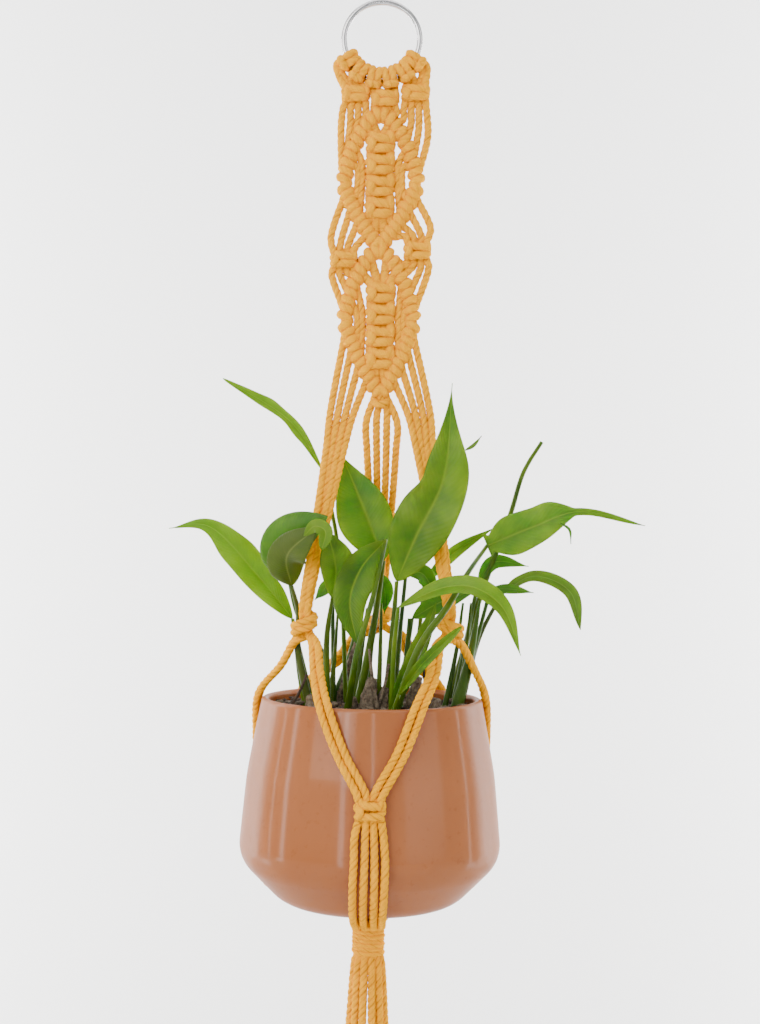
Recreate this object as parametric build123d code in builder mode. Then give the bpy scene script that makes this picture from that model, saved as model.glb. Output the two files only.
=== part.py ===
from build123d import *
import os
from math import cos, degrees, hypot, radians, sin, sqrt, tan

# A macrame hanger with its ring, glazed pot, plant and tassel. Millimetres, +Z up, the front towards -Y.
# The origin is the hook seat, the top inside point of the ring's wire.

# Driving dimensions
CORD = 4.6  # twisted cotton cord
PITCH = 5.0  # from one strand to the next in a flat row
GAP = 0.3  # between two bodies that move on each other
WIRE = 4.0
RING_RADIUS = 23.5  # to the middle of the wire
POT_RIM_Z = -429.0
POT_BASE_Z = -555.4
RIM_RADIUS = 68.1
SOIL_DEPTH = 7.0  # from the rim down to the soil
WRAP_TOP = -570.0
WRAP_BOTTOM = -588.5

# Places that follow from them
RING_Z = WIRE / 2 - RING_RADIUS
RING_AXIS = Axis((0, 0, RING_Z), (0, 1, 0))
CORD_RADIUS = CORD / 2
STRANDS = [(i - 5.5) * PITCH for i in range(12)]  # x of the twelve strands in the flat band
SOIL_Z = POT_RIM_Z - SOIL_DEPTH

# The lark's heads: (middle of the knot, degrees from straight down)
HEAD_ANGLES = [-59.0, -35.0, -11.5, 11.5, 35.0, 59.0]
HEAD_ARC = 22.4
HEAD_RADIUS = 6.0
STRAND_END = -53.0  # the strands of the lark's heads stop above the flexing line

# The knotted band: two diamonds of hitched ribs, cut at the planes where they cross
RIB_RADIUS = 3.8
HALF_WIDTH = 26.0
DIAMONDS = [(-69.0, -111.0, -149.5), (-149.5, -199.0, -242.0)]  # top, side and bottom of each
ROW_TOP = -55.0
ROW_BOTTOMS = {"left": -62.0, "centre": -64.0, "right": -62.0}
SIDE_KNOT_X = 22.0
SIDE_KNOT_Z = (-152.5, -160.0)
SENNIT_HALF = 7.5
KNOT_DEPTH = 9.0

# The three arms: azimuth of the knot seen from above, and its distance from the pot's axis
ARMS = {"left": (210.0, 48.0), "right": (330.0, 54.0), "back": (85.0, 49.0)}
FRONT_ARM_X = 20.0  # middle of the four cords where they leave the lower ribs
BACK_ARM_TOP = Vector(2.5, 0.0, -256.0)
ARM_KNOT_TOP = -375.5
ARM_KNOT_BOTTOM = -391.0
ARM_KNOT_SIZE = 16.0

# The basket: three knots on the pot's wall, halfway between the arms
BASKET = {
    "front": (270.0, "left", "right"),
    "right": (30.0, "right", "back"),
    "left": (150.0, "back", "left"),
}
BASKET_TOP = -479.5
BASKET_BOTTOM = -492.2
RIM_TURN = 37.0  # degrees from an arm to where its cords cross the rim


def write(piece, name):
    """Label a finished piece and write its STEP file."""
    piece.part.label = name
    export_step(piece.part, f"parts/{name}.step")


def polar(radius, azimuth, z):
    """A point from its distance to the Z axis, its direction in degrees and its height."""
    return Vector(radius * cos(radians(azimuth)), radius * sin(radians(azimuth)), z)


def arc_radii(points):
    """The largest arc that fits at each corner of a route: 0.45 of the shorter run over tan(turn / 2)."""
    radii = []
    for before, here, after in zip(points, points[1:], points[2:]):
        turn = (here - before).get_angle(after - here)
        shorter = min((here - before).length, (after - here).length)
        radii.append(0.45 * shorter / tan(radians(turn) / 2))
    return radii


def tube(points, radius=CORD_RADIUS):
    """One round cord along straight runs joined by tangent arcs."""
    points = [Vector(*p) for p in points]
    with BuildLine() as route:
        if len(points) == 2:
            Line(*points)
        else:
            FilletPolyline(*points, radius=arc_radii(points))
    with BuildSketch(Plane(origin=route.line @ 0, z_dir=route.line % 0)) as section:
        Circle(radius)
    sweep(sections=section.sketch, path=route.line)


def upper_rib_z(x, diamond, side):
    """Height of the upper ribs' top (side 1) or underside (side -1) at a distance x from the middle."""
    top, vertex, _ = DIAMONDS[diamond]
    fall = top - vertex
    return top - x * fall / HALF_WIDTH + side * RIB_RADIUS * hypot(HALF_WIDTH, fall) / HALF_WIDTH


def lower_rib_z(x, diamond, side):
    """The same for the lower ribs."""
    _, vertex, bottom = DIAMONDS[diamond]
    fall = vertex - bottom
    return bottom + x * fall / HALF_WIDTH + side * RIB_RADIUS * hypot(HALF_WIDTH, fall) / HALF_WIDTH


def knot_block(x, top, bottom, width, depth=KNOT_DEPTH, round_edge=2.0):
    """A flat knot across the band as a rounded block."""
    with BuildSketch(Plane.XY.offset(top)) as outline:
        with Locations((x, 0)):
            Rectangle(width, depth)
    extrude(outline.sketch, amount=bottom - top)
    fillet(edges().filter_by(Axis.Z), radius=round_edge)


os.makedirs("parts", exist_ok=True)

# Ring ---------------------------------------------------------------------------------------------

with BuildPart() as ring:
    with BuildSketch(Plane.XY.offset(RING_Z)):
        with Locations((RING_RADIUS, 0)):
            Circle(WIRE / 2)
    revolve(axis=RING_AXIS)
write(ring, "ring")

# Lark's heads: a sleeve round the wire for each folded cord, with the tops of its two strands --------

with BuildPart() as larks_heads:
    for index, angle in enumerate(HEAD_ANGLES):
        start = radians(angle - HEAD_ARC / 2)
        outward = (sin(start), 0, -cos(start))
        across = (cos(start), 0, sin(start))
        with BuildSketch(Plane(origin=(0, 0, RING_Z), x_dir=outward, z_dir=across)):
            with Locations((RING_RADIUS, 0)):
                Circle(HEAD_RADIUS)
                Circle(WIRE / 2 + GAP, mode=Mode.SUBTRACT)
        revolve(axis=RING_AXIS, revolution_arc=-HEAD_ARC)
        for x in STRANDS[2 * index : 2 * index + 2]:
            root = RING_Z - sqrt((RING_RADIUS + HEAD_RADIUS - 1) ** 2 - x**2)
            with BuildSketch(Plane.XY.offset(STRAND_END)):
                with Locations((x, 0)):
                    Circle(CORD_RADIUS)
            extrude(amount=root - STRAND_END)
write(larks_heads, "larks_heads")

# First row of square knots ---------------------------------------------------------------------------

for group, (name, bottom) in enumerate(ROW_BOTTOMS.items()):
    middle = STRANDS[4 * group] + 1.5 * PITCH
    with BuildPart() as row_knot:
        knot_block(middle, ROW_TOP, bottom, 4 * PITCH - GAP)
    write(row_knot, f"square_knot_{name}")

# Ribs: each holding cord with its diagonal hitches, out from the middle and back again ----------------

for number, (top, vertex, bottom) in enumerate(DIAMONDS, start=1):
    for name, sign in (("left", -1), ("right", 1)):
        rise = (top - vertex) / HALF_WIDTH
        fall = (vertex - bottom) / HALF_WIDTH
        past = -sign * 2 * RIB_RADIUS  # the bars run on past the middle and are cut there
        corners = [
            (past, 0, top + 2 * RIB_RADIUS * rise),
            (sign * HALF_WIDTH, 0, vertex),
            (past, 0, bottom - 2 * RIB_RADIUS * fall),
        ]
        with BuildPart() as rib:
            with BuildLine() as route:
                FilletPolyline(*corners, radius=RIB_RADIUS + 1)
            with BuildSketch(Plane(origin=route.line @ 0, z_dir=route.line % 0)):
                Circle(RIB_RADIUS)
            sweep(path=route.line)
            split(bisect_by=Plane.YZ, keep=Keep.TOP if sign > 0 else Keep.BOTTOM)
            split(bisect_by=Plane.XY.offset(top), keep=Keep.BOTTOM)
            split(bisect_by=Plane.XY.offset(bottom), keep=Keep.TOP)
        write(rib, f"rib_{name}_{number}")

# Sennits: the column of square knots inside each diamond, pointed to fit between its ribs -------------

for diamond, name in enumerate(("upper", "lower")):
    half = SENNIT_HALF
    clear = 2 * GAP
    outline = [
        (0, upper_rib_z(0, diamond, -1) - clear),
        (half, upper_rib_z(half, diamond, -1) - clear),
        (half, lower_rib_z(half, diamond, 1) + clear),
        (0, lower_rib_z(0, diamond, 1) + clear),
        (-half, lower_rib_z(half, diamond, 1) + clear),
        (-half, upper_rib_z(half, diamond, -1) - clear),
    ]
    with BuildPart() as sennit:
        with BuildSketch(Plane.XZ):
            with BuildLine():
                Polyline(*outline, close=True)
            make_face()
        extrude(amount=KNOT_DEPTH / 2, both=True)
    write(sennit, f"sennit_{name}")

    with BuildPart() as inner_strands:
        for x in (half + PITCH / 2 + GAP, half + 1.5 * PITCH + GAP):
            for sign in (-1, 1):
                reach = x + CORD_RADIUS
                high = upper_rib_z(reach, diamond, -1) - GAP
                low = lower_rib_z(reach, diamond, 1) + GAP
                tube([(sign * x, 0, high), (sign * x, 0, low)])
    write(inner_strands, f"inner_strands_{name}")

# Strands from the first row of knots down to the upper ribs ------------------------------------------

with BuildPart() as neck_strands:
    for index, x in enumerate(STRANDS):
        bottom = list(ROW_BOTTOMS.values())[index // 4]
        reach = max(abs(x) - CORD_RADIUS, 0)
        low = min(upper_rib_z(reach, 0, 1), DIAMONDS[0][0]) + GAP
        tube([(x, 0, bottom), (x, 0, low)])
write(neck_strands, "neck_strands")

# Square knots beside the middle crossing, with the strands above and below them -----------------------

for name, sign in (("left", -1), ("right", 1)):
    with BuildPart() as side_knot:
        knot_block(sign * SIDE_KNOT_X, *SIDE_KNOT_Z, 4 * PITCH - GAP)
    write(side_knot, f"side_knot_{name}")

with BuildPart() as side_strands:
    for sign in (-1, 1):
        for step in (-1.5, -0.5, 0.5, 1.5):
            x = SIDE_KNOT_X + step * PITCH
            reach = min(x - CORD_RADIUS, HALF_WIDTH - RIB_RADIUS)
            tube([(sign * x, 0, lower_rib_z(reach, 0, -1) - GAP), (sign * x, 0, SIDE_KNOT_Z[0])])
            tube([(sign * x, 0, SIDE_KNOT_Z[1]), (sign * x, 0, upper_rib_z(reach, 1, 1) + GAP)])
write(side_strands, "side_strands")

# Tie: the small knot under the lower diamond that gathers the back arm's cords ------------------------

with BuildPart() as tie:
    knot_block(BACK_ARM_TOP.X, DIAMONDS[1][2] - GAP, BACK_ARM_TOP.Z, 3 * PITCH, 7.0)
write(tie, "tie")

# Arms: four cords side by side where they leave the ribs, drawn into a square bundle at the knot -------

fall = DIAMONDS[1][1] - DIAMONDS[1][2]
leave = lower_rib_z(FRONT_ARM_X, 1, -1) - GAP
slope = hypot(HALF_WIDTH, fall) / HALF_WIDTH
ARM_PLANES = {
    "left": Plane((-FRONT_ARM_X, 0, leave), x_dir=(HALF_WIDTH, 0, -fall), z_dir=(-fall, 0, -HALF_WIDTH)),
    "right": Plane((FRONT_ARM_X, 0, leave), x_dir=(HALF_WIDTH, 0, fall), z_dir=(fall, 0, -HALF_WIDTH)),
    "back": Plane(BACK_ARM_TOP, x_dir=(1, 0, 0), z_dir=(0, 0, -1)),
}

for name, (azimuth, distance) in ARMS.items():
    knot = polar(distance, azimuth, ARM_KNOT_TOP)
    spread = 4 * PITCH if name == "back" else 4 * PITCH * slope
    with BuildPart() as arm:
        with BuildSketch(ARM_PLANES[name]):
            RectangleRounded(spread, CORD, CORD_RADIUS - GAP)
        with BuildSketch(Plane(origin=knot, x_dir=(1, 0, 0), z_dir=(0, 0, -1))):
            RectangleRounded(2 * PITCH, 2 * CORD, CORD_RADIUS - GAP)
        loft()
    write(arm, f"arm_{name}")

    with BuildPart() as arm_knot:
        with BuildSketch(Plane(origin=knot, x_dir=(1, 0, 0), z_dir=(0, 0, 1))):
            RectangleRounded(ARM_KNOT_SIZE, ARM_KNOT_SIZE, 6.0)
        extrude(amount=ARM_KNOT_BOTTOM - ARM_KNOT_TOP)
        fillet(faces().sort_by(Axis.Z)[0].edges(), radius=2.0)
        fillet(faces().sort_by(Axis.Z)[-1].edges(), radius=2.0)
    write(arm_knot, f"arm_knot_{name}")

# Pot: a glazed wall of even thickness, with a rounded rim and shoulder --------------------------------

WALL = 5.0
FLOOR = 6.0
POT_OUTLINE = [(RIM_RADIUS, POT_RIM_Z), (76.7, -476.0), (81.4, -526.5), (53.0, POT_BASE_Z)]
SHOULDER = 22.0
FOOT = 25.0
BELLY = 150.0
POT_INSIDE = [
    (0, POT_BASE_Z + FLOOR),
    (POT_OUTLINE[3][0] - WALL / 2, POT_BASE_Z + FLOOR),
    (POT_OUTLINE[2][0] - WALL, POT_OUTLINE[2][1] + WALL / 2),
    (POT_OUTLINE[1][0] - WALL, POT_OUTLINE[1][1]),
    (RIM_RADIUS - WALL, POT_RIM_Z),
]
INSIDE_RADII = [FOOT - WALL, SHOULDER - WALL, BELLY]

with BuildPart() as pot:
    with BuildSketch(Plane.XZ):
        with BuildLine():
            outer = FilletPolyline(*POT_OUTLINE, (0, POT_BASE_Z), radius=[BELLY, SHOULDER, FOOT])
            inner = FilletPolyline(*POT_INSIDE, radius=INSIDE_RADII)
            Line(outer @ 1, inner @ 0)
            Line(inner @ 1, outer @ 0)
        make_face()
    revolve(axis=Axis.Z)
    fillet(edges().filter_by(GeomType.CIRCLE).group_by(Axis.Z)[-1], radius=WALL / 2 - 0.2)
write(pot, "pot")

with BuildPart() as soil:
    with BuildSketch(Plane.XZ):
        with BuildLine():
            side = FilletPolyline(*POT_INSIDE, radius=INSIDE_RADII)
            Polyline(side @ 1, (0, POT_RIM_Z), side @ 0)
        make_face()
    revolve(axis=Axis.Z)
    split(bisect_by=Plane.XY.offset(SOIL_Z), keep=Keep.BOTTOM)
write(soil, "soil")

# Basket: pairs of cords from two arm knots to a square knot on the pot's wall, then four down under it --


def wall_radius(z):
    """The pot's outer radius at a height between the rim and the shoulder."""
    (r0, z0), (r1, z1), (r2, z2) = POT_OUTLINE[:3]
    if z > z1:
        return r0 + (r1 - r0) * (z0 - z) / (z0 - z1)
    return r1 + (r2 - r1) * (z1 - z) / (z1 - z2)


STAND_OFF = CORD_RADIUS + 2 * GAP
MIDWAY = (POT_RIM_Z + BASKET_TOP) / 2
# distance from the axis, height and share of the full spread
UNDER_THE_POT = [(84.0, -528.0, 1.0), (72.0, -549.0, 0.95), (50.0, -561.0, 0.85), (24.0, -563.5, 0.8)]
GATHER_RADIUS = 8.9

for name, (azimuth, *arm_names) in BASKET.items():
    middle = polar(1, azimuth, 0)
    sideways = polar(1, azimuth + 90, 0)
    knot_radius = wall_radius(BASKET_BOTTOM) + STAND_OFF

    with BuildPart() as basket_pairs:
        for side, arm_name in zip((-1, 1), arm_names):
            arm_azimuth, arm_distance = ARMS[arm_name]
            swing = -side * RIM_TURN
            for lane in (-0.5, 0.5):
                rim_azimuth = azimuth + side * (60 - RIM_TURN) + degrees(lane * 1.1 * PITCH / RIM_RADIUS)
                start_azimuth = arm_azimuth + swing / 2.4 + degrees(lane * PITCH / arm_distance)
                end = middle * knot_radius + sideways * (side + lane) * PITCH
                rim = polar(RIM_RADIUS + STAND_OFF + 0.6, rim_azimuth, POT_RIM_Z + 0.5)
                half_azimuth = (rim_azimuth + azimuth + degrees((side + lane) * PITCH / knot_radius)) / 2
                half = polar(wall_radius(MIDWAY) + STAND_OFF + 0.8, half_azimuth, MIDWAY)
                tube(
                    [
                        polar(arm_distance + 1.5, start_azimuth, ARM_KNOT_BOTTOM + 3),
                        rim,
                        half,
                        (end.X, end.Y, BASKET_TOP - 3),
                    ]
                )
        split(bisect_by=Plane.XY.offset(ARM_KNOT_BOTTOM), keep=Keep.BOTTOM)
        split(bisect_by=Plane.XY.offset(BASKET_TOP), keep=Keep.TOP)
    write(basket_pairs, f"basket_pairs_{name}")

    back_face = wall_radius(BASKET_BOTTOM) + 2 * GAP
    with BuildPart() as basket_knot:
        with BuildSketch(Plane(origin=(0, 0, BASKET_TOP), x_dir=middle, z_dir=(0, 0, 1))):
            with Locations((back_face + KNOT_DEPTH / 2, 0)):
                Rectangle(KNOT_DEPTH, 4 * PITCH + 0.6)
        extrude(amount=BASKET_BOTTOM - BASKET_TOP)
        fillet(edges().filter_by(Axis.Z), radius=2.0)
    write(basket_knot, f"basket_knot_{name}")

    with BuildPart() as lower_cords:
        for lane in (-1.5, -0.5, 0.5, 1.5):
            wide = lane * (PITCH + 1.0)
            gather = polar(GATHER_RADIUS, azimuth + lane * 30, WRAP_TOP)
            points = [middle * knot_radius + sideways * lane * PITCH + Vector(0, 0, BASKET_BOTTOM)]
            for radius, z, share in UNDER_THE_POT:
                points.append(middle * radius + sideways * wide * share + Vector(0, 0, z))
            points.append(gather - Vector(0, 0, CORD_RADIUS))
            tube(points)
        split(bisect_by=Plane.XY.offset(BASKET_BOTTOM), keep=Keep.BOTTOM)
        split(bisect_by=Plane.XY.offset(WRAP_TOP), keep=Keep.TOP)
    write(lower_cords, f"lower_cords_{name}")

# Wrap: turns of cord round the twelve strands under the pot -------------------------------------------

WRAP_RADIUS = 10.6
WRAP_TURNS = 5
turn_height = (WRAP_TOP - WRAP_BOTTOM) / WRAP_TURNS
groove = WRAP_RADIUS - 1

with BuildPart() as wrap:
    with BuildSketch(Plane.XZ):
        with BuildLine():
            Polyline((groove, WRAP_BOTTOM), (0, WRAP_BOTTOM), (0, WRAP_TOP), (groove, WRAP_TOP))
            for turn in range(WRAP_TURNS):
                high = WRAP_TOP - turn * turn_height
                low = high - turn_height
                ThreePointArc((groove, high), (WRAP_RADIUS, (high + low) / 2), (groove, low))
        make_face()
    revolve(axis=Axis.Z)
write(wrap, "wrap")

# Tassel: the twelve strands below the wrap. Each starts on a circle, 30 degrees on from the last, and
# runs down through points of (distance from the axis, direction in degrees, height) ---------------------

TASSEL_TOP = -594.0
TASSEL_TOP_RADIUS = 9.0
TASSEL = [
    [(11.2, 15, -628), (14.0, 11, -676), (16.0, 17, -728), (18.0, 12, -784), (18.5, 16, -829)],
    [(10.8, 45, -630), (13.5, 47, -680), (16.5, 44, -734), (17.0, 49, -790), (18.5, 46, -836)],
    [(11.2, 75, -626), (14.5, 74, -672), (15.5, 79, -724), (18.0, 76, -780), (17.5, 80, -827)],
    [(10.8, 105, -631), (14.0, 108, -679), (16.5, 104, -731), (17.0, 108, -788), (19.0, 105, -833)],
    [(11.2, 135, -627), (14.5, 133, -674), (16.0, 138, -727), (18.5, 134, -782), (18.0, 138, -830)],
    [(10.8, 165, -629), (14.2, 168, -678), (17.0, 163, -732), (17.5, 168, -787), (19.0, 164, -834)],
    [(11.2, 195, -630), (15.0, 192, -675), (16.0, 198, -729), (18.5, 193, -785), (18.0, 197, -831)],
    [(10.8, 225, -627), (14.0, 228, -677), (17.0, 223, -730), (17.5, 229, -786), (19.2, 225, -835)],
    [(11.2, 255, -629), (14.8, 252, -673), (15.8, 258, -726), (18.2, 254, -781), (17.8, 258, -828)],
    [(10.8, 285, -628), (14.0, 288, -678), (16.8, 283, -733), (17.2, 289, -789), (19.0, 285, -836)],
    [(11.2, 315, -631), (14.6, 312, -676), (15.8, 318, -728), (18.4, 313, -783), (18.0, 317, -829)],
    [(10.8, 345, -627), (13.8, 348, -674), (16.6, 343, -730), (17.4, 348, -786), (18.8, 344, -832)],
]

print("tassel arc radii, least of each strand:")
for number, below in enumerate(TASSEL, start=1):
    start = (TASSEL_TOP_RADIUS, 30 * number - 15, TASSEL_TOP)
    points = [polar(*point) for point in [start, *below]]
    print(f"  strand {number}: {min(arc_radii(points)):.0f}")
    with BuildPart() as strand:
        tube(points)
    write(strand, f"tassel_strand_{number:02d}")

# Plant: each leaf is a stalk from its foot and a blade along its midrib, from the neck to the tip ------
# Points are (x, y, height above the soil). The width follows from the leaf's half width and its widest place.

STALK = 1.7
LEAF_THICKNESS = 0.6
TIP = 0.8


def lance(share, widest):
    """A blade's width, 0 to 1, at a share of its length from the neck."""
    if share < widest:
        return sin(radians(90 * share / widest)) ** 0.7
    return cos(radians(90 * (share - widest) / (1 - widest)))


def stations(stalk, midrib, half_width, widest):
    """(point, half width) of each section: along the stalk, then four stretches of the smooth midrib."""
    points = [Vector(x, y, SOIL_Z + height) for x, y, height in [*stalk, *midrib]]
    result = [(point, STALK + 0.4 * (index == 0)) for index, point in enumerate(points[: len(stalk)])]
    with BuildLine() as line:
        Spline(*points[len(stalk) :])
    for share in (0, 0.22, 0.45, 0.72, 1):
        width = max(half_width * lance(share, widest), TIP if share == 1 else STALK)
        result.append((line.line @ share, width))
    return result


def leaf(sections, across):
    """A closed leaf through flat sections, standing on the soil."""
    across = Vector(*across)
    points = [point for point, _ in sections]
    outlines = []
    for index, (point, width) in enumerate(sections):
        before = points[max(index - 1, 0)]
        after = points[min(index + 1, len(points) - 1)]
        along = Vector(0, 0, 1) if index == 0 else (after - before).normalized()
        side = (across - along * across.dot(along)).normalized()
        thickness = LEAF_THICKNESS if width > 2 * STALK else 0.9 * min(width, STALK)
        with BuildSketch(Plane(origin=point, x_dir=side, z_dir=along)) as section:
            Rectangle(2 * width, 2 * thickness)
        outlines.append(section.sketch)
    loft(outlines, ruled=True)


# name: [(stalk, midrib, half width, widest place, direction across the blade), ...]
LEAVES = {
    "leaf_01": [
        ([(-16, 8, 0), (-22, 8, 95)],
         [(-32, 8, 146), (-53, 5, 177), (-95, -5, 203)],
         3.4, 0.5, (0.4, 0.8, 0.8)),
    ],
    "leaf_02": [
        ([(-37, 0, 0)],
         [(-50, 0, 55), (-72, -4, 82), (-103, -10, 112), (-126, -12, 110)],
         9.5, 0.4, (0.2, 0.4, 1)),
    ],
    "leaf_03": [
        ([(-29, -6, 0), (-32, -7, 35), (-46, -9, 58)],
         [(-52, -12, 80), (-53, -26, 101), (-28, -38, 119)],
         11.0, 0.45, (1, 0.2, 0.4)),
    ],
    "leaf_04": [
        ([(-9, -12, 0), (1, -16, 56)],
         [(6, -6, 92), (-6, 0, 122), (-21, 5, 157)],
         15.5, 0.42, (1, 0, 0)),
    ],
    "leaf_05": [
        ([(-27, -14, 0), (-28, -16, 45)],
         [(-25, -17, 69), (-23, -21, 87), (-29, -25, 112)],
         8.0, 0.42, (1, 0, 0)),
    ],
    "leaf_06": [
        ([(-15, -24, 0), (-9, -43, 38), (0, -38, 72)],
         [(7, -14, 105), (-8, -25, 87), (-14, -31, 68), (-9, -36, 42)],
         9.0, 0.5, (1, -0.4, 0)),
    ],
    "leaf_07": [
        ([(9, -12, 0)],
         [(14, -24, 80), (25, -29, 107), (41, -29, 142), (46, -21, 201)],
         16.5, 0.34, (1, -0.2, 0)),
    ],
    "leaf_08": [
        ([(12, -26, 0), (13, -31, 40)],
         [(15, -36, 65), (43, -48, 78), (60, -54, 78), (76, -56, 67), (87, -58, 39)],
         6.0, 0.55, (0, 1.2, 1)),
    ],
    "leaf_09": [
        ([(13, -38, 0), (29, -44, 44), (44, -44, 66), (56, -31, 85)],
         [(70, 2, 102), (98, 0, 114), (126, -3, 124), (167, -5, 116)],
         12.5, 0.3, (0.3, -0.4, -1)),
    ],
    "leaf_10": [
        ([(56, 14, 0), (67, 15, 44)],
         [(80, 15, 71), (100, 15, 83), (123, 14, 74), (130, 11, 50)],
         4.4, 0.64, (0, 1.2, 1)),
    ],
    "leaf_11": [
        ([(12, -44, 0)],
         [(16, -48, 14), (30, -60, 34), (52, -63, 56)],
         3.4, 0.5, (0.7, -0.5, -0.7)),
    ],
    "young_leaves": [
        ([(25, 18, 0)], [(32, 22, 78), (52, 22, 98), (77, 20, 114)], 4.0, 0.5, (0.5, -0.7, -0.8)),
        ([(42, 36, 0)], [(66, 36, 76), (78, 36, 90), (98, 35, 88)], 4.4, 0.5, (0, 1, 1)),
        ([(22, 34, 0)], [(48, 42, 60), (90, 42, 128), (106, 40, 168)], 1.7, 0.5, (1, 0, -0.5)),
    ],
}

for name, blades in LEAVES.items():
    with BuildPart() as plant_piece:
        for stalk, midrib, half_width, widest, across in blades:
            leaf(stations(stalk, midrib, half_width, widest), across)
    write(plant_piece, name)
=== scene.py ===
import random
from math import cos, degrees, exp, hypot, pi, radians, sin, sqrt, tau

import bmesh
import bpy
import numpy as np
from mathutils import Matrix, Vector


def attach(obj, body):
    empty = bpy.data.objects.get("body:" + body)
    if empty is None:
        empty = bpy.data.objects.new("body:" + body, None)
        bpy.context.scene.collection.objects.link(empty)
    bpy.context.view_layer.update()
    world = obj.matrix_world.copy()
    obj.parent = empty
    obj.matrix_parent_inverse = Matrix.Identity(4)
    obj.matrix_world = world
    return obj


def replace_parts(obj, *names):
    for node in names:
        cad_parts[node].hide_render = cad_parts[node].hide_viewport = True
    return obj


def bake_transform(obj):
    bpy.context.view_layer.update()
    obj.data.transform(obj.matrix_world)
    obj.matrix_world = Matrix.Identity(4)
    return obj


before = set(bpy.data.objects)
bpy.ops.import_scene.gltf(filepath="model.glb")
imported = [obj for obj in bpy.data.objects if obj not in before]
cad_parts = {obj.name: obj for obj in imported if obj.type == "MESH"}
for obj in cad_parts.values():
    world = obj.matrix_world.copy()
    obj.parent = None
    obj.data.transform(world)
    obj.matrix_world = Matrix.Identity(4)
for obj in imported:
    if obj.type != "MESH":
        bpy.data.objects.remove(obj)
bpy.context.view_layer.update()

MM = 0.001

# Cord: three plies, twisted. Lengths below are in millimetres, written as (x, w, z) with w towards the
# viewer, unless a comment says otherwise.
CORD_RADIUS = 2.3
# soft cotton spreads where it is wrapped: radius, and how far its plies open, by how a feature's name starts
KNOT_SIZES = {
    "rib": (2.95, 0.6), "sennit": (3.2, 0.6), "square": (2.85, 0.55), "side_knot": (2.75, 0.5),
    "larks_heads": (2.6, 0.5), "basket_knot": (2.6, 0.3), "arm_knot": (2.5, 0.2),
}
LOOSE = (2.45, 0.25)
LAY = 12.6  # length of one full turn of the plies
PLIES = 3
RING_POINTS = 18  # round a cord
STEP = 0.9  # along a cord

# The ring, its mounting knots and the flexing lengths below them
RING_CENTRE_Z = -21.5
RING_RADIUS = 23.5
HEAD_ANGLES = [-57, -33.5, -10, 12, 35.5, 57]
FLEX_TOP = -48
FLEX_BOTTOM = -53.5

# The pot
RIM_RADIUS = 68.1
POT_RIM_Z = -429
SOIL_Z = -436
POT_WALL = [(RIM_RADIUS, POT_RIM_Z), (76.7, -476), (81.4, -526.5)]  # (radius, height)

rng = random.Random(7)


# Lines ------------


def arc_length(line):
    """Each point's distance along a line."""
    return np.concatenate([[0], np.cumsum(np.linalg.norm(np.diff(line, axis=0), axis=1))])


def between(t, ta, a, tb, b):
    """The value at t on the straight line from a at ta to b at tb."""
    return (tb - t) / (tb - ta) * a + (t - ta) / (tb - ta) * b


def smooth(points, step=STEP):
    """Evenly spaced points on a smooth line through the given ones, and each one's place among them."""
    given = np.array(points, float)
    padded = np.vstack([2 * given[0] - given[1], given, 2 * given[-1] - given[-2]])
    line, place = [], []
    for i in range(len(given) - 1):
        p0, p1, p2, p3 = padded[i : i + 4]
        knots = [0]
        for a, b in ((p0, p1), (p1, p2), (p2, p3)):
            knots.append(knots[-1] + max(np.linalg.norm(b - a), 1e-6) ** 0.5)
        t0, t1, t2, t3 = knots
        count = max(4, int(np.linalg.norm(p2 - p1) / (0.4 * step)))
        for t in np.linspace(t1, t2, count, endpoint=False):
            a1 = between(t, t0, p0, t1, p1)
            a2 = between(t, t1, p1, t2, p2)
            a3 = between(t, t2, p2, t3, p3)
            b1 = between(t, t0, a1, t2, a2)
            b2 = between(t, t1, a2, t3, a3)
            line.append(between(t, t1, b1, t2, b2))
            place.append(i + (t - t1) / (t2 - t1))
    line.append(given[-1])
    place.append(len(given) - 1)
    line = np.array(line)
    arc = arc_length(line)
    even = np.linspace(0, arc[-1], max(2, int(arc[-1] / step) + 1))
    return np.column_stack([np.interp(even, arc, column) for column in line.T]), np.interp(even, arc, place)


def frames(line):
    """Tangents and two directions across a line, carried along it without twist."""
    tangent = np.gradient(line, axis=0)
    tangent /= np.linalg.norm(tangent, axis=1)[:, None]
    first = np.cross(tangent[0], (0.3, 1, 0.2))
    first /= np.linalg.norm(first)
    across = [first]
    for t in tangent[1:]:
        n = across[-1] - t * np.dot(across[-1], t)
        across.append(n / np.linalg.norm(n))
    across = np.array(across)
    return tangent, across, np.cross(tangent, across)


# Meshes ------------


def put(name, data):
    """An object made of this data, linked to the scene."""
    obj = bpy.data.objects.new(name, data)
    bpy.context.scene.collection.objects.link(obj)
    return obj


def new_object(name, vertices, faces, material, attribute=None, values=None):
    """A smooth-shaded mesh object from millimetres, with a vector attribute for its material."""
    mesh = bpy.data.meshes.new(name)
    mesh.from_pydata([tuple(v) for v in np.asarray(vertices) * MM], [], faces)
    if attribute:
        data = mesh.attributes.new(attribute, "FLOAT_VECTOR", "POINT").data
        data.foreach_set("vector", np.asarray(values, np.float32).ravel())
    mesh.polygons.foreach_set("use_smooth", [True] * len(mesh.polygons))
    mesh.materials.append(material)
    return put(name, mesh)


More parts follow.
